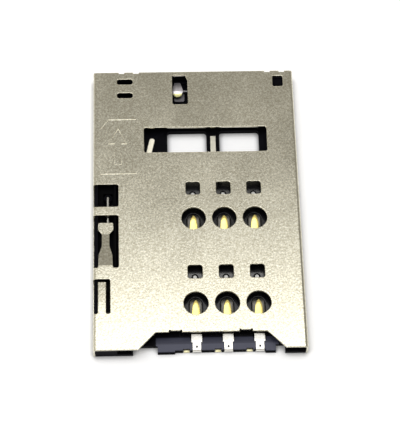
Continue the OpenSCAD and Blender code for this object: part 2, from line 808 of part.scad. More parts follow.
// The heart: in along the left leg, locked in the notch, out along the right leg.
// The island between the legs has a blunt tip.
module heart_track() {
    start = [pin_x, tip_y];
    in_end = [pin_x - cam_throw, tip_y - travel];
    locked = [pin_x, tip_y - eject_stroke];
    out_end = [pin_x + cam_throw, tip_y - travel];
    track(start, in_end);
    track(in_end, locked);
    track(locked, out_end);
    track(out_end, start);
    translate([pin_x - track_w / 3, tip_y - island_from])
        square([2 * track_w / 3, island_from]);
}

module slider()
    color("#2a2a2e") {
        difference() {
            box(slider_left, slider_front, slider_z, slider_right, shoulder_y, cam_z);
            translate([0, 0, cam_z - track_depth]) linear_extrude(reach) heart_track();
            slot_w = boss_d + 4 * run;
            box(pin_x - slot_w / 2, pivot_y - travel - slot_w / 2, -reach,
                pin_x + slot_w / 2, pivot_y + slot_w / 2, total_h);
        }
        box(slider_left, slider_front, cam_z - fit, slider_right, slider_front + nose_block_l,
            slider_top - 0.13);
        box(slider_right - guide_rib_w, slider_front, cam_z - fit, slider_right,
            shoulder_y, slider_top);
        box(slider_left, shoulder_y - shoulder_l, cam_z - fit, slider_right, shoulder_y, slider_top);
        box(arm_left, shoulder_y - fit, slider_z, slider_right, nose_back_y, slider_top);
        translate([0, 0, nose_z]) linear_extrude(slider_top - nose_z)
            polygon([[slider_right - fit, nose_face_y - fit],
                [nose_tip_x, nose_face_y + nose_tip_x - slider_right],
                [nose_tip_x, nose_back_y], [slider_right - fit, nose_back_y]]);
        spring_spigot(shoulder_y - fit, spigot_l + fit);
    }

// A wire with both ends bent down: one leg pivots in the boss, one rides in the track
module cam_pin() {
    elbow_r = 1.2 * pin_r;
    color("#cfcdc6") {
        for (end = [[pivot_y, channel_floor + 2 * fit, 1], [tip_y, cam_z - track_depth + 2 * fit, -1]])
            translate([pin_x, end[0], 0]) {
                translate([0, 0, end[1]]) cylinder(r = pin_r, h = pin_z - elbow_r - end[1]);
                translate([0, -end[2] * elbow_r, pin_z - elbow_r])
                    rotate([90, 0, 90 * end[2]]) rotate_extrude(angle = 90)
                        translate([elbow_r, 0]) circle(pin_r);
            }
        translate([pin_x, tip_y + elbow_r, pin_z]) rotate([-90, 0, 0])
            cylinder(r = pin_r, h = pin_l - 2 * elbow_r);
    }
}

// Height along the coil after a number of turns: a closed turn at each end
end_turns = 1;
closed_pitch = 1.15 * spring_wire;
spring_l = rear_wall_y - shoulder_y - spring_wire - 2 * fit;
open_pitch = (spring_l - 2 * end_turns * closed_pitch) / spring_turns;
function coil_y(turn) =
    turn < end_turns ? turn * closed_pitch
    : turn < end_turns + spring_turns
        ? end_turns * closed_pitch + (turn - end_turns) * open_pitch
    : spring_l - (2 * end_turns + spring_turns - turn) * closed_pitch;

module eject_spring() {
    sides = 8;
    per_turn = 14;
    rings = (spring_turns + 2 * end_turns) * per_turn;
    coil_r = (spring_d - spring_wire) / 2;
    points = [for (i = [0:rings], k = [0:sides - 1])
        let (around = 360 * i / per_turn, section = 360 * k / sides,
            out = coil_r + spring_wire / 2 * cos(section))
        [out * cos(around), coil_y(i / per_turn) + spring_wire / 2 * sin(section),
            out * sin(around)]];
    faces = concat(
        [[for (k = [0:sides - 1]) k]],
        [for (i = [0:rings - 1], k = [0:sides - 1])
            let (a = i * sides + k, b = i * sides + (k + 1) % sides)
            [a, a + sides, b + sides, b]],
        [[for (k = [sides - 1:-1:0]) rings * sides + k]]);
    color("#bdbdc0")
        translate([spring_x, shoulder_y + spring_wire / 2 + fit, spring_z])
            polyhedron(points, faces, convexity = 10);
}

placed() shield();
placed() housing();
placed() front_contact(-1);  // contact_front_left
placed() front_contact(0);  // contact_front_middle
placed() front_contact(1);  // contact_front_right
placed() rear_contact(-1);  // contact_rear_left
placed() rear_contact(0);  // contact_rear_middle
placed() rear_contact(1);  // contact_rear_right
placed() slider();
placed() eject_spring();
placed() cam_pin();
placed() switch_blade();
placed() switch_anvil();
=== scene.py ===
# %% [markdown]
# A push-push socket for a SIM card: a pierced metal shield over a black moulding,
# with gold spring contacts, a detect switch and an eject mechanism along its left side.
# The solids come from the CAD frame in metres. The whole part is 26 mm long, so sizes
# here are written in millimetres and turned to metres where a mesh is made.

# %% Load the frame
import math
import bmesh
import bpy
import numpy as np
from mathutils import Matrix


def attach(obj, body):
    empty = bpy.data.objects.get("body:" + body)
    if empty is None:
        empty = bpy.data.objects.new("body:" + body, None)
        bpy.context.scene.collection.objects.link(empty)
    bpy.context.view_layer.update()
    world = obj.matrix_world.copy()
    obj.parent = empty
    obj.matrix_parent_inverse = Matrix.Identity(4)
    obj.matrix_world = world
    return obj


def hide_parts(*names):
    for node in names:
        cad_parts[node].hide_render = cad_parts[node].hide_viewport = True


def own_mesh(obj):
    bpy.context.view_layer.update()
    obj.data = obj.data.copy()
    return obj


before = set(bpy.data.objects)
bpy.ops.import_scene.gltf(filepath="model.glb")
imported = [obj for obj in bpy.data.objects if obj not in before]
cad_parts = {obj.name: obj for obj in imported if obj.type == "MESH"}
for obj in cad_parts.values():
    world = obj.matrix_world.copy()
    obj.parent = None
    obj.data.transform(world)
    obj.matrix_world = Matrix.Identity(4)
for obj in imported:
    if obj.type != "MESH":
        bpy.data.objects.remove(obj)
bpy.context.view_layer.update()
MM = 0.001
scene = bpy.context.scene
scene.view_settings.view_transform = "Standard"

# %% [markdown]
# The CAD frame has its origin in the middle of the underside. Places on the socket are
# easier to read off from its front left corner, so one function turns such a place,
# in millimetres, into the frame's metres.

# %% Places measured from the front left corner
SHIELD_W = 17.2
SHIELD_L = 25.66
TOP = 1.5


def place(points):
    """Corner-frame millimetres to frame metres: half the width and length are taken off."""
    shift = np.array([SHIELD_W / 2, SHIELD_L / 2, 0.0])
    return (np.asarray(points, float) - shift) * MM


print("front left corner in m:", place([0, 0, 0]).round(5))

# %% [markdown]
# The camera stands where the photographer stood: close, in front and a little to the
# left, looking steeply down. Its place and lens were worked out from the contact
# grid, whose spacing is a standard, so the near end looks larger, as in the photograph.

# %% Camera
LENS_MM = 129.27
SENSOR_MM = 36.0
CAMERA_PLACE = (-0.003663, -0.059039, 0.119505)
CAMERA_TURN = (25.9803, -1.1217, -1.5704)
camera_data = bpy.data.cameras.new("photo_camera")
camera_data.sensor_width = SENSOR_MM
camera_data.lens = LENS_MM
camera_data.clip_start = 0.001
camera_data.clip_end = 10.0
camera = bpy.data.objects.new("photo_camera", camera_data)
camera.location = CAMERA_PLACE
camera.rotation_euler = [math.radians(angle) for angle in CAMERA_TURN]
scene.collection.objects.link(camera)
scene.camera = camera
print("camera height in mm:", round(camera.location.z / MM, 1))

# %% [markdown]
# Colours are written as hex values, as a paint chart gives them, and one function turns
# them to the linear values that the shader works with. Another adds a node with its
# settings and links, so that each material reads as a list of what it is made of.
# A pattern's scale is given as marks per millimetre and turned to metres like any size.

# %% Colour and node helpers


def linear(hex_colour):
    """sRGB hex to linear RGBA: each channel through the sRGB curve."""
    channels = np.array([int(hex_colour[i:i + 2], 16) for i in (1, 3, 5)]) / 255
    curve = np.where(channels <= 0.04045, channels / 12.92, ((channels + 0.055) / 1.055) ** 2.4)
    return (*curve, 1.0)


def add_node(tree, kind, inputs=None, **settings):
    """Adds a node, sets its properties and fills its inputs.

    An input takes a number, a colour, a node's output, or a node for its first output.
    """
    node = tree.nodes.new(kind)
    for name, value in settings.items():
        setattr(node, name, value)
    for socket, value in (inputs or {}).items():
        if isinstance(value, bpy.types.Node):
            value = value.outputs[0]
        if isinstance(value, bpy.types.NodeSocket):
            tree.links.new(value, node.inputs[socket])
        else:
            node.inputs[socket].default_value = value
    return node


def new_material(name):
    """An empty node material and its tree."""
    material = bpy.data.materials.new(name)
    material.use_nodes = True
    material.node_tree.nodes.clear()
    return material, material.node_tree


def set_stops(ramp, stops):
    """Gives a colour ramp its stops: each is a position and a linear colour."""
    while len(ramp.elements) > 1:
        ramp.elements.remove(ramp.elements[-1])
    ramp.elements[0].position, ramp.elements[0].color = stops[0]
    for position, colour in stops[1:]:
        ramp.elements.new(position).color = colour


print("linear of middle grey:", [round(c, 3) for c in linear("#808080")])

# %% [markdown]
# The shield is rolled steel with a satin nickel plating, whose grain glints in points of
# light. The real grain is finer than the picture can show, so it is drawn about 0.15 mm
# wide, and it drives both the bump and, a little, the colour. Broad clouds of about 3 mm
# vary the polish. A picture of brushed metal would do too, but this grain has no direction.

# %% Satin nickel-plated steel
NICKEL_GRAINS_PER_MM = 6.5
NICKEL_CLOUDS_PER_MM = 0.35
NICKEL_TINTS = [(0.3, "#bab49f"), (0.5, "#d0ccba"), (0.7, "#e8e5d5")]


def satin_nickel():
    """A bright metal with a fine grain in its colour and bump, and clouds in its polish."""
    material, tree = new_material("satin_nickel_plated_steel")
    where = add_node(tree, "ShaderNodeTexCoord").outputs["Object"]
    grain = add_node(tree, "ShaderNodeTexNoise",
                     {"Vector": where, "Scale": NICKEL_GRAINS_PER_MM / MM,
                      "Detail": 2.0, "Roughness": 0.6}).outputs["Fac"]
    cloud = add_node(tree, "ShaderNodeTexNoise",
                     {"Vector": where, "Scale": NICKEL_CLOUDS_PER_MM / MM,
                      "Detail": 2.0, "Roughness": 0.5}).outputs["Fac"]
    tint = add_node(tree, "ShaderNodeValToRGB", {"Fac": grain})
    set_stops(tint.color_ramp, [(share, linear(colour)) for share, colour in NICKEL_TINTS])
    rough = add_node(tree, "ShaderNodeMapRange", {"Value": cloud, "From Min": 0.3, "From Max": 0.7,
                                                  "To Min": 0.2, "To Max": 0.25})
    bump = add_node(tree, "ShaderNodeBump",
                    {"Height": grain, "Strength": 0.36, "Distance": 0.01 * MM})
    shader = add_node(tree, "ShaderNodeBsdfPrincipled", {"Base Color": tint, "Roughness": rough,
                                                         "Normal": bump, "Metallic": 1.0})
    add_node(tree, "ShaderNodeOutputMaterial", {"Surface": shader})
    return material


nickel = satin_nickel()
print("made", nickel.name)

# %% [markdown]
# The base was moulded against steel that is polished in some places and not in others, and
# a material has to know where it is to follow that and to paint light into some places. A
# mask is a number that is 1 inside a place and 0 outside, with a short fade between. The
# masks' sizes are in millimetres, and the six contacts share theirs, because the distance
# to the nearest contact repeats.

# %% Places on the moulding
COLUMN_XS = [8.31, 10.85, 13.39]
ROW_YS = [3.94, 11.56]
PAD_PITCH = 2.54
ROW_PITCH = 7.62
EDGE_FADE = 0.06

FLOOR_T = 0.5
FLAT_FROM = FLOOR_T - 0.003
RIM_TO = FLOOR_T - 0.012
FIELD_MIDDLE = 8.5
FIELD_HALF_W = 3.9
FIELD_HALF_L = 7.0

GATE_BACK = 2.69
GATE_STUB_R = 0.12
BAND_HALF_L = 1.1

RIM_R = 0.16
RIM_FROM = (FLOOR_T - RIM_R, FLOOR_T - 0.7 * RIM_R)
RIM_HALF_W = 0.6
RIM_HALF_L = 0.9
RIM_LIT_TO = 0.12

POCKET_TOP = (0.47, 0.36)
POCKET_FLOOR = (0.05, 0.08)
POCKET_HALF_W = 0.5
POCKET_HALF_L = 1.5
POCKET_LIT_TO = 0.85
POCKET_FADE = 0.4

LIP_MIDDLE = 9.95
LIP_HALF_W = 4.9
LIP_FACE = (0.29, 0.35)
LIP_FADE = 0.1
# The shield's shadow line on the lip: light is painted on in front of it only.
LIP_SHADOW_LINE = 1.3
LIP_NEAR = 0.76


def frame_mm(x, y):
    """A place measured from the corner, in millimetres of the CAD frame."""
    return place([x, y, 0])[:2] / MM


def fade(tree, value, start, stop):
    """Goes from 0 at start to 1 at stop, both in mm. Start may be the larger."""
    return add_node(tree, "ShaderNodeMapRange",
                    {"Value": value, "From Min": start * MM, "From Max": stop * MM})


def within(tree, distance, half):
    """1 up to a distance of half, 0 a little further out (in mm)."""
    return fade(tree, distance, half + EDGE_FADE, half)


def apart(tree, value, centre, period=None):
    """How far a value is from a centre, or from the nearest of centres a period apart (in mm)."""
    away = add_node(tree, "ShaderNodeMath", {0: value, 1: centre * MM}, operation="SUBTRACT")
    if period:
        half = period / 2 * MM
        away = add_node(tree, "ShaderNodeMath", {0: away, 1: half, 2: -half}, operation="WRAP")
    return add_node(tree, "ShaderNodeMath", {0: away}, operation="ABSOLUTE")


def overlap(tree, first, *others):
    """Where all of the masks are 1: their values multiplied."""
    for other in others:
        first = add_node(tree, "ShaderNodeMath", {0: first, 1: other}, operation="MULTIPLY")
    return first


def lip_masks(tree, x, y, z):
    """Masks for the lip in front of the shield's shadow line and for its part nearest the edge. Both
    carry sheen and a painted reflection; behind the line no light is painted.
    """
    middle_x, far_y = frame_mm(LIP_MIDDLE, LIP_SHADOW_LINE)
    near_y = frame_mm(LIP_MIDDLE, LIP_NEAR)[1]
    lip = overlap(tree, within(tree, apart(tree, x, middle_x), LIP_HALF_W), fade(tree, z, *LIP_FACE))
    return {"lip": overlap(tree, lip, fade(tree, y, far_y + LIP_FADE, far_y)),
            "nose": overlap(tree, lip, fade(tree, y, near_y + LIP_FADE, near_y))}


def contact_masks(tree, x, y, z):
    """The floor's flat field, the band of the gates in it, their stubs, and the pockets and rims.

    A gate's radius is the length of (across, along). Outside the contacts' field, 1 m is
    added to across, which puts every contact's mask out of reach there.
    """
    column_x, row_y = frame_mm(COLUMN_XS[1], ROW_YS[0])
    middle_y = frame_mm(0, FIELD_MIDDLE)[1]
    under = overlap(tree, within(tree, apart(tree, x, column_x), FIELD_HALF_W),
                    within(tree, apart(tree, y, middle_y), FIELD_HALF_L))
    field = overlap(tree, under, fade(tree, z, RIM_TO, FLAT_FROM))
    outside = add_node(tree, "ShaderNodeMath", {0: 1.0, 1: under}, operation="SUBTRACT")
    nearest = apart(tree, x, column_x, PAD_PITCH)
    across = add_node(tree, "ShaderNodeMath", {0: nearest, 1: outside}, operation="ADD")
    along = apart(tree, y, row_y + GATE_BACK, ROW_PITCH)
    gate = add_node(tree, "ShaderNodeCombineXYZ", {"X": across, "Y": along})
    radius = add_node(tree, "ShaderNodeVectorMath", {0: gate}, operation="LENGTH").outputs["Value"]
    rim_y = apart(tree, y, row_y + RIM_LIT_TO - RIM_HALF_L, ROW_PITCH)
    rim = overlap(tree, within(tree, across, RIM_HALF_W), within(tree, rim_y, RIM_HALF_L),
                  fade(tree, z, *RIM_FROM), fade(tree, z, FLAT_FROM, RIM_TO))
    # Painted light: the lit front part of each pocket is painted pale.
    pocket_y = apart(tree, y, row_y + POCKET_LIT_TO - POCKET_HALF_L, ROW_PITCH)
    pocket = overlap(tree, within(tree, across, POCKET_HALF_W), fade(tree, z, *POCKET_TOP),
                     fade(tree, z, *POCKET_FLOOR),
                     fade(tree, pocket_y, POCKET_HALF_L, POCKET_HALF_L - POCKET_FADE))
    # Painted highlight: the stub mask paints the top of each gate's stub pale.
    return {"field": field, "rim": rim, "pocket": pocket,
            "band": overlap(tree, field, within(tree, along, BAND_HALF_L)),
            "stub": overlap(tree, within(tree, radius, GATE_STUB_R), field)}


print("contacts:", len(COLUMN_XS) * len(ROW_YS))

# %% [markdown]
# The base and the slider are moulded from a black liquid-crystal polymer, filled with
# glass, which leaves a dull skin with faint flow marks about 1 mm long and a grit of less
# than 0.1 mm. The floor under the contacts mirrors the light that falls through the
# shield's holes, most of all behind them, where the gates are, and the lip in front has a
# softer sheen. Light is also painted into the base's colour. The lip is painted lighter and
# bluer in front of the shield's shadow line, a painted reflection, and lighter still near
# its edge. The top of each gate's torn stub is painted pale, a painted highlight. The front
# part of each pocket is painted pale, painted light that it gathers from the arms.

# %% Moulded black polymer
FLOW_MARKS_PER_MM = 0.9
GRITS_PER_MM = 12.0
DULL = 0.5
POLISHED = 0.21
WALL_SHEEN = 0.015
SHEENS = {"field": 0.28, "band": 0.62, "lip": 0.22, "nose": 0.1, "rim": 0.5}
# Painted light: colours laid over the base where light falls or glints, each over its mask.
PAINTED_LIGHT = {"lip": "#23263c", "nose": "#34374e", "pocket": "#b0ada6", "stub": "#dcdcd8"}


def moulded_polymer(name, dark, pale):
    """A dull plastic with flow marks between two colours. Returns the material and its parts."""
    material, tree = new_material(name)
    where = add_node(tree, "ShaderNodeTexCoord").outputs["Object"]
    flow = add_node(tree, "ShaderNodeTexNoise",
                    {"Vector": where, "Scale": FLOW_MARKS_PER_MM / MM, "Detail": 4.0,
                     "Roughness": 0.6, "Distortion": 0.6}).outputs["Fac"]
    grit = add_node(tree, "ShaderNodeTexNoise", {"Vector": where, "Scale": GRITS_PER_MM / MM,
                                                 "Detail": 2.0}).outputs["Fac"]
    tint = add_node(tree, "ShaderNodeValToRGB", {"Fac": flow})
    set_stops(tint.color_ramp, [(0.35, linear(dark)), (0.7, linear(pale))])
    bump = add_node(tree, "ShaderNodeBump",
                    {"Height": grit, "Strength": 0.2, "Distance": 0.006 * MM})
    shader = add_node(tree, "ShaderNodeBsdfPrincipled",
                      {"Base Color": tint, "Normal": bump, "Roughness": DULL, "IOR": 1.7,
                       "Specular IOR Level": WALL_SHEEN})
    add_node(tree, "ShaderNodeOutputMaterial", {"Surface": shader})
    return material, shader, tint.outputs["Color"], where


def polish(tree, shader, colour, where):
    """Gives each place on the moulding its own sheen and smoothness, and paints light into its colour
    where it falls or glints.
    """
    split = add_node(tree, "ShaderNodeSeparateXYZ", {"Vector": where})
    axes = [split.outputs[axis] for axis in "XYZ"]
    masks = contact_masks(tree, *axes) | lip_masks(tree, *axes)
    sheen = WALL_SHEEN
    for spot, level in SHEENS.items():
        sheen = add_node(tree, "ShaderNodeMath", {0: masks[spot], 1: level, 2: sheen},
                         operation="MULTIPLY_ADD")
    for spot, tint in PAINTED_LIGHT.items():
        mix = add_node(tree, "ShaderNodeMix", {0: masks[spot], 6: colour, 7: linear(tint)},
                       data_type="RGBA")
        colour = mix.outputs[2]
    smooth = add_node(tree, "ShaderNodeMath", {0: masks["field"], 1: masks["rim"]},
                      operation="MAXIMUM")
    rough = add_node(tree, "ShaderNodeMapRange",
                     {"Value": smooth, "To Min": DULL, "To Max": POLISHED})
    tree.links.new(sheen.outputs[0], shader.inputs["Specular IOR Level"])
    tree.links.new(rough.outputs[0], shader.inputs["Roughness"])
    tree.links.new(colour, shader.inputs["Base Color"])


black_moulding, *parts = moulded_polymer("glass_filled_black_polymer_with_painted_light", "#08080b", "#101016")
polish(black_moulding.node_tree, *parts)
slider_moulding = moulded_polymer("self_lubricating_black_polymer", "#050506", "#09090b")[0]
print("made", black_moulding.name, "and", slider_moulding.name)

# %% [markdown]
# The contacts are stamped from a copper alloy. Their arms are flashed with gold, and the
# front ones' tails are tinned for soldering, so the finish changes along each strip from
# front to back. Between the tin and the gold the front strips are painted dark: painted
# shade of the shield's front edge, which hangs over them there. Behind its lead the
# switch's anvil is painted dark grey: painted shade under the blade's nose. A colour ramp
# holds the zones, with each zone's roughness in the ramp's alpha. Faint stains of about
# 0.3 mm keep it from looking new.

# %% Gold-flashed and tinned copper alloy
STAINS_PER_MM = 3.0
# The dark zone from 1.54 mm is painted shade: the shadow of the shield's front edge on the front
# strips.
FRONT_ZONES = [(0.0, "#f4f2ec", 0.45), (1.54, "#24221e", 0.5), (2.3, "#f2df88", 0.34)]
REAR_ZONES = [(0.0, "#cfc9a4", 0.45), (1.7, "#f2df88", 0.34)]
BLADE_ZONES = [(0.0, "#d6d3c4", 0.42), (23.0, "#d6d39c", 0.42), (23.8, "#dcd9de", 0.42)]
# The dark grey zone from 21 mm is nickel painted darker: painted shade under the blade's nose.
ANVIL_ZONES = [(0.0, "#fbf6e4", 0.42), (21.0, "#6e6c70", 0.5)]


def plated_alloy(name, zones):
    """A zone is a start in mm from the front edge, a colour and a roughness."""
    material, tree = new_material(name)
    where = add_node(tree, "ShaderNodeTexCoord").outputs["Object"]
    split = add_node(tree, "ShaderNodeSeparateXYZ", {"Vector": where})
    front, back = place([[0, 0, 0], [0, SHIELD_L, 0]])[:, 1]
    along = add_node(tree, "ShaderNodeMapRange",
                     {"Value": split.outputs["Y"], "From Min": front, "From Max": back})
    plating = add_node(tree, "ShaderNodeValToRGB", {"Fac": along})
    stops = [(start / SHIELD_L, (*linear(colour)[:3], rough)) for start, colour, rough in zones]
    set_stops(plating.color_ramp, stops)
    plating.color_ramp.interpolation = "CONSTANT"
    stain = add_node(tree, "ShaderNodeTexNoise", {"Vector": where, "Scale": STAINS_PER_MM / MM,
                                                  "Detail": 3.0}).outputs["Fac"]
    value = add_node(tree, "ShaderNodeMapRange", {"Value": stain, "From Min": 0.3, "From Max": 0.7,
                                                  "To Min": 0.9, "To Max": 1.06})
    tint = add_node(tree, "ShaderNodeHueSaturation", {"Color": plating, "Value": value})
    shader = add_node(tree, "ShaderNodeBsdfPrincipled",
                      {"Base Color": tint, "Roughness": plating.outputs["Alpha"], "Metallic": 1.0})
    add_node(tree, "ShaderNodeOutputMaterial", {"Surface": shader})
    return material


front_plating = plated_alloy("gold_flashed_tinned_bronze_with_painted_shade", FRONT_ZONES)
rear_plating = plated_alloy("gold_flashed_bronze", REAR_ZONES)
blade_plating = plated_alloy("bright_nickel_plated_bronze", BLADE_ZONES)
anvil_plating = plated_alloy("nickel_plated_bronze_with_painted_shade", ANVIL_ZONES)
print("made", front_plating.name, rear_plating.name, blade_plating.name, "and", anvil_plating.name)

# %% [markdown]
# The spring and the cam pin are drawn steel wire, bright, with a grain of about 0.1 mm in
# its polish. Real drawing lines are finer still and would not show.

# %% Drawn spring steel
WIRE_GRAINS_PER_MM = 9.0


def drawn_steel():
    """A bright metal whose roughness varies with a fine noise."""
    material, tree = new_material("drawn_spring_steel")
    where = add_node(tree, "ShaderNodeTexCoord").outputs["Object"]
    grain = add_node(tree, "ShaderNodeTexNoise", {"Vector": where, "Scale": WIRE_GRAINS_PER_MM / MM,
                                                  "Detail": 2.0}).outputs["Fac"]
    rough = add_node(tree, "ShaderNodeMapRange", {"Value": grain, "From Min": 0.3, "From Max": 0.7,
                                                  "To Min": 0.2, "To Max": 0.34})
    shader = add_node(tree, "ShaderNodeBsdfPrincipled",
                      {"Base Color": linear("#d3d2cc"), "Roughness": rough, "Metallic": 1.0})
    add_node(tree, "ShaderNodeOutputMaterial", {"Surface": shader})
    return material


wire_steel = drawn_steel()
print("made", wire_steel.name)

# %% [markdown]
# Real edges are never sharp: a punch rolls the sheet's upper edge over and a mould leaves
# a small radius. A copy of each CAD node gets such edges. It is worked in millimetres,
# because the bevel tool's own tolerances are too coarse for a part this small in metres.

# %% Copies with worked edges
SHARP_ANGLE = math.radians(35)
SMOOTH_ANGLE = math.radians(32)
FLAT_ANGLE = math.radians(1.0)
JOIN_DISTANCE = 0.0005
LOOKS_UP = 0.85
LOOKS_SIDEWAYS = 0.3


def any_edge(edge):
    """Every edge is chosen."""
    return True


def upper_rim(edge):
    """A convex edge between a face that looks up and one that looks sideways."""
    low, high = sorted(face.normal.z for face in edge.link_faces)
    return edge.is_convex and high > LOOKS_UP and abs(low) < LOOKS_SIDEWAYS


def round_edges(bm, offset, segments, chosen, clamp):
    """Rounds the chosen edges where two faces meet at more than the sharp angle."""
    sharp = [e for e in bm.edges if e.is_manifold and e.calc_face_angle(0.0) > SHARP_ANGLE]
    bmesh.ops.bevel(bm, geom=[e for e in sharp if chosen(e)], offset=offset, offset_type="OFFSET",
                    segments=segments, profile=0.5, affect="EDGES", clamp_overlap=clamp)


def smooth_piece(mesh, material):
    """Links a mesh as an object that is smooth but for edges over the smooth angle."""
    mesh.materials.append(material)
    mesh.polygons.foreach_set("use_smooth", np.ones(len(mesh.polygons), bool))
    mesh.set_sharp_from_angle(angle=SMOOTH_ANGLE)
    piece = bpy.data.objects.new(mesh.name, mesh)
    scene.collection.objects.link(piece)
    flat = piece.modifiers.new("flat_faces_stay_flat", "WEIGHTED_NORMAL")
    flat.keep_sharp = True
    print(mesh.name, "faces:", len(mesh.polygons))
    return piece


def dressed_copy(node, name, material, rims, shape=None):
    """Joins a node's loose triangles, merges its flat faces and rounds its rims in turn.

    A rim is a radius in mm, a number of segments, a choice of edges and whether to clamp.
    """
    bm = bmesh.new()
    bm.from_mesh(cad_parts[node].data)
    bmesh.ops.scale(bm, vec=(1 / MM,) * 3, verts=bm.verts)
    bmesh.ops.remove_doubles(bm, verts=bm.verts, dist=JOIN_DISTANCE)
    bmesh.ops.dissolve_limit(bm, angle_limit=FLAT_ANGLE, verts=bm.verts, edges=bm.edges)
    for offset, segments, chosen, clamp in rims:
        round_edges(bm, offset, segments, chosen, clamp)
    if shape:
        shape(bm)
    bmesh.ops.scale(bm, vec=(MM,) * 3, verts=bm.verts)
    mesh = bpy.data.meshes.new(name)
    bm.to_mesh(mesh)
    bm.free()
    return smooth_piece(mesh, material)


def stand_in(piece, body, slot, *nodes):
    """The piece rides on a body and stands for CAD nodes, which it hides. The slot is not used."""
    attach(piece, body)
    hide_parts(*nodes)


print("helpers for worked edges are ready")

# %% [markdown]
# The shield's sides are folded down round a bar, so each fold is a quarter circle, which the
# mesh has in thin strips. Blender would work out the normals from the faces around each
# corner, and a shiny plate shows every small error in them. They are known here, so they
# are written in: straight up on the top, and away from the axis on the folds.

# %% Shield
FOLD_R = 0.30
SHEET_T = 0.15
FOLD_SLACK = 0.006
LEVEL_Z = 0.99995
ROLLED_Z = 0.8
QUARTER_SLACK = 0.01
END_FACE_Y = 0.02
RADIAL_SHARE = 0.9
SHEET_RIMS = [(0.05, 3, upper_rim, False), (0.012, 1, any_edge, True)]


def read_all(items, attribute, width, kind=float):
    """One attribute of every item, as an array with a row of the given width for each."""
    values = np.empty(len(items) * width, kind)
    items.foreach_get(attribute, values)
    return values.reshape(-1, width)


def true_normals(piece):
    """Corner normals: straight up on level faces and their rims, radial on the folds."""
    mesh = piece.data
    worked = piece.evaluated_get(bpy.context.evaluated_depsgraph_get()).data
    normals = read_all(worked.corner_normals, "vector", 3)
    corners = read_all(mesh.loops, "vertex_index", 1, int)[:, 0]
    sizes = read_all(mesh.polygons, "loop_total", 1, int)[:, 0]
    points = read_all(mesh.vertices, "co", 3)[corners] / MM
    faces = np.repeat(read_all(mesh.polygons, "normal", 3), sizes, axis=0)
    level = faces[:, 2] > LEVEL_Z
    meets = np.isin(corners, np.unique(corners[level])) & (faces[:, 2] > ROLLED_Z)
    normals[level | meets] = (0, 0, 1)
    for side in (-1, 1):
        radial = points - (side * (SHIELD_W / 2 - FOLD_R), 0, TOP - FOLD_R)
        radial[:, 1] = 0
        length = np.linalg.norm(radial, axis=1) + 1e-9
        radial /= length[:, None]
        in_quarter = (side * radial[:, 0] > -QUARTER_SLACK) & (radial[:, 2] > -QUARTER_SLACK)
        in_quarter &= abs(faces[:, 1]) < END_FACE_Y
        for radius, outward in ((FOLD_R, 1), (FOLD_R - SHEET_T, -1)):
            faces_away = outward * (radial * faces).sum(axis=1) > RADIAL_SHARE
            strip = in_quarter & faces_away & (abs(length - radius) < FOLD_SLACK)
            normals[strip] = outward * radial[strip]
    piece.modifiers.clear()
    mesh.normals_split_custom_set(normals)
    print(piece.name, "level corners:", int(level.sum()))


shield_skin = dressed_copy("shield", "shield_skin", nickel, SHEET_RIMS)
true_normals(shield_skin)
stand_in(shield_skin, "socket", "shield", "shield")

# %% [markdown]
# The moulding's small edges are only broken, but the pockets that the contacts dip into
# have well rounded rims, which catch the light beside each arm. The hole that the switch
# blade's foot comes down through fits the foot closely, so no light shows beside it.

# %% Moulding and slider
RIM_FRONT = -1.95
RIM_REAR = 0.9
LEVEL_SLACK = 0.01
WALL_SLACK = 0.02
FOOT_HOLE_X = 10.46
FOOT_HOLE_Y = 15.45
FOOT_HOLE_HALF_L = 0.6
FOOT_HOLE_GAP = 0.05


def corner_xy(point):
    """A vertex's place measured from the front left corner, in millimetres."""
    return point.x + SHIELD_W / 2, point.y + SHIELD_L / 2


def pocket_rim(edge):
    """An edge at the floor's level, near the tapered part or the round end of a pocket."""
    if not upper_rim(edge):
        return False
    middle = (edge.verts[0].co + edge.verts[1].co) / 2
    x, y = corner_xy(middle)
    beside = any(abs(x - column_x) < RIM_HALF_W for column_x in COLUMN_XS)
    along = any(RIM_FRONT < y - row_y < RIM_REAR for row_y in ROW_YS)
    return beside and along and abs(middle.z - FLOOR_T) < LEVEL_SLACK


def snug_foot_hole(bm):
    """Brings the right wall of the hole for the blade's foot up to the foot's edge."""
    for vert in bm.verts:
        x, y = corner_xy(vert.co)
        if abs(x - FOOT_HOLE_X) < WALL_SLACK and abs(y - FOOT_HOLE_Y) < FOOT_HOLE_HALF_L:
            vert.co.x -= FOOT_HOLE_GAP


MOULD_RIMS = [(RIM_R, 5, pocket_rim, False), (0.015, 1, any_edge, True)]
SLIDER_RIMS = [(0.03, 2, any_edge, True)]
housing_skin = dressed_copy("housing", "housing_skin", black_moulding, MOULD_RIMS, snug_foot_hole)
true_normals(housing_skin)
stand_in(housing_skin, "socket", "housing", "housing")
slider_skin = dressed_copy("slider", "slider_skin", slider_moulding, SLIDER_RIMS)
stand_in(slider_skin, "slider", "slider", "slider")

# %% [markdown]
# Each contact's arm is pressed to a crown across its width, so that one line of metal
# touches the card's pad. The crown makes one half of the arm mirror the soft box and the
# other half the darker room. The arm ends in a narrow tip just past the contact point.

# %% Crowned contacts and flat switch strips
ARM_L = 2.6
CROWN = 0.045
CROWN_HALF_W = 0.3
CROWN_RUN = 1.2
CROWN_CUTS = np.linspace(-0.4, 0.4, 9)
TIP_L = 0.4
TIP_RUN = 1.2
TIP_NARROW = 0.4
TIP_SHORT = 0.28
STRIP_RIMS = [(0.015, 2, any_edge, True)]


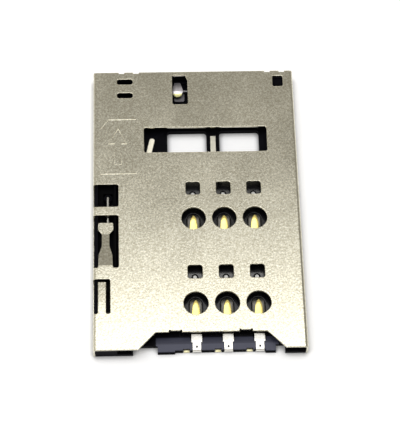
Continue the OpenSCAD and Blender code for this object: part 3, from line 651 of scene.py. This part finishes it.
def crowned(column_x, root_y):
    """Lowers the arm by CROWN * (x / half width)^2, growing over CROWN_RUN from its root.

    Over the last TIP_RUN its width shrinks by the share TIP_NARROW * s^2, s from 0 to 1,
    and what lies beyond the contact point is shortened by the share TIP_SHORT.
    """
    def shape(bm):
        for offset in CROWN_CUTS:
            everything = bm.verts[:] + bm.edges[:] + bm.faces[:]
            bmesh.ops.bisect_plane(bm, geom=everything, plane_no=(1, 0, 0),
                                   plane_co=(column_x - SHIELD_W / 2 + offset, 0, 0))
        for vert in bm.verts:
            x, y = corner_xy(vert.co)
            across = (x - column_x) / CROWN_HALF_W
            past_root = y - root_y
            ahead = np.clip((past_root - ARM_L - TIP_L) / TIP_RUN + 1, 0, 1)
            vert.co.z -= CROWN * across ** 2 * np.clip(past_root / CROWN_RUN, 0, 1)
            vert.co.x -= TIP_NARROW * ahead ** 2 * across * CROWN_HALF_W
            vert.co.y -= TIP_SHORT * max(past_root - ARM_L, 0)
    return shape


for row, row_y, plating in zip(("front", "rear"), ROW_YS, (front_plating, rear_plating)):
    for side, column_x in zip(("left", "middle", "right"), COLUMN_XS):
        node_name = f"contact_{row}_{side}"
        strip = dressed_copy(node_name, node_name + "_strip", plating, STRIP_RIMS,
                             crowned(column_x, row_y - ARM_L))
        stand_in(strip, "socket", "contact", node_name)
for node_name, plating in (("switch_blade", blade_plating), ("switch_anvil", anvil_plating)):
    strip = dressed_copy(node_name, node_name + "_strip", plating, STRIP_RIMS)
    stand_in(strip, "socket", "switch", node_name)

# %% [markdown]
# The wire pieces are tubes: a circle carried along a path, turned as little as possible
# from one point to the next so that the skin doesn't twist.

# %% Tubes along a path
SLANTED = [1.0, 0.3, 0.2]


def tube(path, radius, sides):
    """Points path[i] + r (cos a u_i + sin a v_i), where u_i, v_i are square to the path.

    u_i is u_(i-1) with its part along the path's direction taken away.
    """
    path = np.asarray(path, float)
    ahead = np.gradient(path, axis=0)
    ahead /= np.linalg.norm(ahead, axis=1)[:, None]
    u = np.zeros_like(path)
    u[0] = np.cross(ahead[0], SLANTED)
    u[0] /= np.linalg.norm(u[0])
    for i in range(1, len(path)):
        u[i] = u[i - 1] - ahead[i] * (u[i - 1] @ ahead[i])
        u[i] /= np.linalg.norm(u[i])
    v = np.cross(ahead, u)
    angles = np.linspace(0, 2 * np.pi, sides, endpoint=False)[None, :, None]
    return path[:, None] + radius * (np.cos(angles) * u[:, None] + np.sin(angles) * v[:, None])


def skin(name, rings):
    """A closed mesh over rings of points, with a flat face on each end."""
    rows, sides = rings.shape[:2]
    index = np.arange(rows * sides).reshape(rows, sides)
    turned = np.roll(index, -1, axis=1)
    quads = np.stack([index[:-1], turned[:-1], turned[1:], index[1:]], axis=-1).reshape(-1, 4)
    faces = quads.tolist() + [index[0, ::-1].tolist(), index[-1].tolist()]
    mesh = bpy.data.meshes.new(name)
    mesh.from_pydata(place(rings.reshape(-1, 3)).tolist(), [], faces)
    return mesh


def arc(centre, radius, start, stop, steps):
    """Points (y, z) on a circle, angles in degrees."""
    angles = np.radians(np.linspace(start, stop, steps))
    return np.asarray(centre) + radius * np.stack([np.cos(angles), np.sin(angles)], axis=1)


print("a straight tube has", tube([[0, 0, 0], [0, 1, 0]], 0.1, 12).size // 3, "points")

# %% [markdown]
# The eject spring is a round coil with a closed turn at each end. When the slider is
# pushed in, the coil is squeezed against the rear wall, to 59 % of its length. A screw
# modifier would give even turns only, so the path is worked out, with close end turns.

# %% Eject spring
SPRING_X = 0.94
SPRING_Z = 0.75
COIL_R = 0.35
WIRE_R = 0.06
WIRE_SIDES = 12
COIL_FRONT = 15.28
COIL_L = 9.6
TURNS = 15
STEPS_PER_TURN = 36
CLOSED_PITCH = 0.138


def coil_advance(turn):
    """How far along the coil a turn lies: slow over the two end turns, steady between."""
    turns = [0, 1, TURNS - 1, TURNS]
    return np.interp(turn, turns, [0, CLOSED_PITCH, COIL_L - CLOSED_PITCH, COIL_L])


turn = np.linspace(0, TURNS, TURNS * STEPS_PER_TURN + 1)
coil = np.stack([SPRING_X + COIL_R * np.cos(2 * np.pi * turn), COIL_FRONT + coil_advance(turn),
                 SPRING_Z + COIL_R * np.sin(2 * np.pi * turn)], axis=1)
spring = smooth_piece(skin("eject_spring_coil", tube(coil, WIRE_R, WIRE_SIDES)), wire_steel)
stand_in(spring, "socket", "spring_wire", "eject_spring")
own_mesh(spring)

# %% [markdown]
# The cam pin is one wire with both ends bent down through a quarter circle. Three
# cylinders would meet in sharp corners, so it is one tube along a path with two bends.

# %% Cam pin
PIN_X = 1.22
PIN_R = 0.13
PIN_SIDES = 20
PIN_Z = 0.95
PIVOT_Y = 13.85
PIVOT_LOW = 0.34
TIP_Y = 8.6
TIP_LOW = 0.54
ELBOW_R = 0.156
ELBOW_Z = PIN_Z - ELBOW_R
ELBOW_POINTS = 10
LEG_TOP = ELBOW_Z - 0.02
LEG_POINTS = 4


def leg(y, start, stop):
    """Points (y, z) down or up one straight leg of the pin."""
    return np.stack([np.full(LEG_POINTS, y), np.linspace(start, stop, LEG_POINTS)], axis=1)


pin_line = np.concatenate([leg(PIVOT_Y, PIVOT_LOW, LEG_TOP),
                           arc((PIVOT_Y - ELBOW_R, ELBOW_Z), ELBOW_R, 0, 90, ELBOW_POINTS),
                           arc((TIP_Y + ELBOW_R, ELBOW_Z), ELBOW_R, 90, 180, ELBOW_POINTS),
                           leg(TIP_Y, LEG_TOP, TIP_LOW)])
pin_path = np.column_stack([np.full(len(pin_line), PIN_X), pin_line])
pin = smooth_piece(skin("cam_pin_wire", tube(pin_path, PIN_R, PIN_SIDES)), wire_steel)
stand_in(pin, "cam_pin", "spring_wire", "cam_pin")

# %% [markdown]
# A sign is pressed into the plate from below: a card's outline with its cut corner, and an
# arrow that shows which way it goes in. Each line is a low ridge with a rounded section,
# and the arrow's head was pressed deeper than the card's long sides. A bump in the
# material would look flat from the side, so the ridges are surfaces of their own.

# %% Card sign
RIDGE_HALF_W = 0.045
RIDGE_SINK = 0.002
RIDGE_POINTS = 9
SIGN_LINES = [
    ([(0.62, 15.78), (0.62, 20.09)], 0.006),
    ([(0.62, 20.09), (1.29, 20.98)], 0.007),
    ([(1.29, 20.98), (3.63, 20.98)], 0.009),
    ([(3.63, 20.98), (3.63, 15.78)], 0.005),
    ([(3.63, 15.78), (0.62, 15.78)], 0.008),
    ([(1.83, 18.64), (1.32, 18.64), (2.11, 20.12), (2.84, 18.64), (2.39, 18.64)], 0.016),
    ([(1.83, 18.64), (1.83, 16.66), (2.39, 16.66), (2.39, 18.64)], 0.005),
]


def ridge(line, ridge_h):
    """A section h (1 + cos(pi s)) / 2, s from -1 to 1, carried along a line with mitred corners."""
    line = np.asarray(line, float)
    before = line - np.roll(line, 1, axis=0)
    after = np.roll(line, -1, axis=0) - line
    before[0] = after[0]
    after[-1] = before[-1]
    before /= np.linalg.norm(before, axis=1)[:, None]
    after /= np.linalg.norm(after, axis=1)[:, None]
    left = np.stack([-before[:, 1], before[:, 0]], axis=1)
    mitre = left + np.stack([-after[:, 1], after[:, 0]], axis=1)
    mitre /= (mitre * left).sum(axis=1)[:, None]
    s = np.linspace(-1, 1, RIDGE_POINTS)
    plan = line[:, None] + RIDGE_HALF_W * s[None, :, None] * mitre[:, None]
    height = TOP - RIDGE_SINK + ridge_h * (1 + np.cos(np.pi * s)) / 2
    height = np.broadcast_to(height, (len(line), RIDGE_POINTS))
    return np.concatenate([plan, height[..., None]], axis=2)


def ridge_mesh(name, lines):
    """One mesh of all the ridges: a strip of quads along each."""
    points, faces = [], []
    for line, ridge_h in lines:
        grid = ridge(line, ridge_h)
        rows, columns = grid.shape[:2]
        index = len(points) + np.arange(rows * columns).reshape(rows, columns)
        quads = np.stack([index[:-1, :-1], index[1:, :-1], index[1:, 1:], index[:-1, 1:]], axis=-1)
        faces += quads.reshape(-1, 4)[:, ::-1].tolist()
        points += grid.reshape(-1, 3).tolist()
    mesh = bpy.data.meshes.new(name)
    mesh.from_pydata(place(points).tolist(), [], faces)
    return mesh


sign = smooth_piece(ridge_mesh("card_sign", SIGN_LINES), nickel)
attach(sign, "socket")

# %% [markdown]
# The part lies on a sheet of white paper, overexposed in the photograph. A stronger lamp
# would burn out the plate too, so the paper glows a little where it is seen. Close to the
# part it darkens, because the gap there gets no light, and a shade that follows how open
# each place is dims both the paper and its glow.

# %% Paper
PAPER_GLOW = 0.23
SHADE_REACH = 0.5
SHADE_FROM = 0.4
SHADE_TO = 0.95
SHADE_DEPTH = 0.4


def white_paper():
    """Matt white plus a glow, both multiplied by a shade that follows how open the place is."""
    material, tree = new_material("white_paper")
    rays = add_node(tree, "ShaderNodeLightPath")
    seen = rays.outputs["Is Camera Ray"]
    for kind in ("Is Glossy Ray", "Is Transmission Ray"):
        seen = add_node(tree, "ShaderNodeMath", {0: seen, 1: rays.outputs[kind]},
                        operation="MAXIMUM")
    openness = add_node(tree, "ShaderNodeAmbientOcclusion", {"Distance": SHADE_REACH * MM}, samples=16)
    shade = add_node(tree, "ShaderNodeMapRange",
                     {"Value": openness.outputs["AO"], "From Min": SHADE_FROM,
                      "From Max": SHADE_TO, "To Min": SHADE_DEPTH})
    glow = add_node(tree, "ShaderNodeEmission", {"Strength": overlap(tree, seen, shade, PAPER_GLOW)})
    white = add_node(tree, "ShaderNodeHueSaturation", {"Value": shade, "Color": linear("#f7f8fb")})
    matt = add_node(tree, "ShaderNodeBsdfDiffuse", {"Color": white})
    both = add_node(tree, "ShaderNodeAddShader", {0: matt, 1: glow})
    add_node(tree, "ShaderNodeOutputMaterial", {"Surface": both})
    return material


floor_mesh = bpy.data.meshes.new("paper_floor")
floor_mesh.from_pydata([(-1, -1, 0), (1, -1, 0), (1, 1, 0), (-1, 1, 0)], [], [(0, 1, 2, 3)])
floor_mesh.materials.append(white_paper())
floor = bpy.data.objects.new("paper_floor", floor_mesh)
scene.collection.objects.link(floor)
print("paper glow:", PAPER_GLOW)

# %% [markdown]
# The room is pale, with a bright wall low down at the back and a paler one on the left.
# Where each begins and where it is full is given by the direction one looks in, which is
# all a mirror needs, so no walls are built. The plate mirrors the soft box at its near end
# and the room at its far end, which is why it turns from nearly white in front to
# grey-beige at the back. The rolled rims of its holes mirror the wall at the back, and the
# left fold mirrors the one on the left.

# %% Room
ROOM_LEVEL = 0.38
BACK_LEVEL = 1.8
BACK_Y = (0.6, 0.85)
BACK_Z = (0.68, 0.3)
LEFT_LEVEL = 0.6
LEFT_X = (-0.3, -0.5)
LEFT_Y = (0.5, 0.38)


def wall_mask(tree, *spans):
    """Where a wall stands: the product of one rise for each span of a direction's part."""
    rises = [add_node(tree, "ShaderNodeMapRange", {"Value": part, "From Min": start, "From Max": stop})
             for part, (start, stop) in spans]
    return overlap(tree, *rises)


def pale_room():
    """Level plus the two walls for light and mirrors, and plain white for the camera."""
    room = bpy.data.worlds.new("pale_room")
    room.use_nodes = True
    tree = room.node_tree
    tree.nodes.clear()
    rays = add_node(tree, "ShaderNodeLightPath")
    way = add_node(tree, "ShaderNodeTexCoord").outputs["Generated"]
    split = add_node(tree, "ShaderNodeSeparateXYZ", {"Vector": way})
    x, y, z = (split.outputs[axis] for axis in "XYZ")
    walls = ((wall_mask(tree, (z, BACK_Z), (y, BACK_Y)), BACK_LEVEL),
             (wall_mask(tree, (x, LEFT_X), (y, LEFT_Y)), LEFT_LEVEL))
    level = ROOM_LEVEL
    for mask, wall_level in walls:
        level = add_node(tree, "ShaderNodeMath", {0: mask, 1: wall_level, 2: level},
                         operation="MULTIPLY_ADD")
    light = add_node(tree, "ShaderNodeBackground", {"Color": linear("#f7f3ea"), "Strength": level})
    white = add_node(tree, "ShaderNodeBackground", {"Color": (1, 1, 1, 1), "Strength": 1.0})
    mix = add_node(tree, "ShaderNodeMixShader",
                   {0: rays.outputs["Is Camera Ray"], 1: light, 2: white})
    add_node(tree, "ShaderNodeOutputWorld", {"Surface": mix})
    return room


scene.world = pale_room()
print("made", scene.world.name)

# %% [markdown]
# One large soft box hangs above the part, a little behind it and to its left. A small lamp
# would leave one hard glint on the plate, where a large one gives a wide, even sheen.

# %% Soft box
BOX_PLACE = (-0.026, 0.015, 0.30)
BOX_SIZE = (0.28, 0.20)
BOX_WATTS = 0.5


def soft_box(name, location, size, watts):
    """A white rectangular lamp, level from left to right, tipped to face the line y = 0."""
    lamp_data = bpy.data.lights.new(name, "AREA")
    lamp_data.shape = "RECTANGLE"
    lamp_data.size, lamp_data.size_y = size
    lamp_data.energy = watts
    lamp_data.color = linear("#ffffff")[:3]
    lamp = bpy.data.objects.new(name, lamp_data)
    lamp.location = location
    lamp.rotation_euler = (math.atan2(-location[1], location[2]), 0.0, 0.0)
    scene.collection.objects.link(lamp)
    print(name, "watts", watts)


soft_box("top_soft_box", BOX_PLACE, BOX_SIZE, BOX_WATTS)
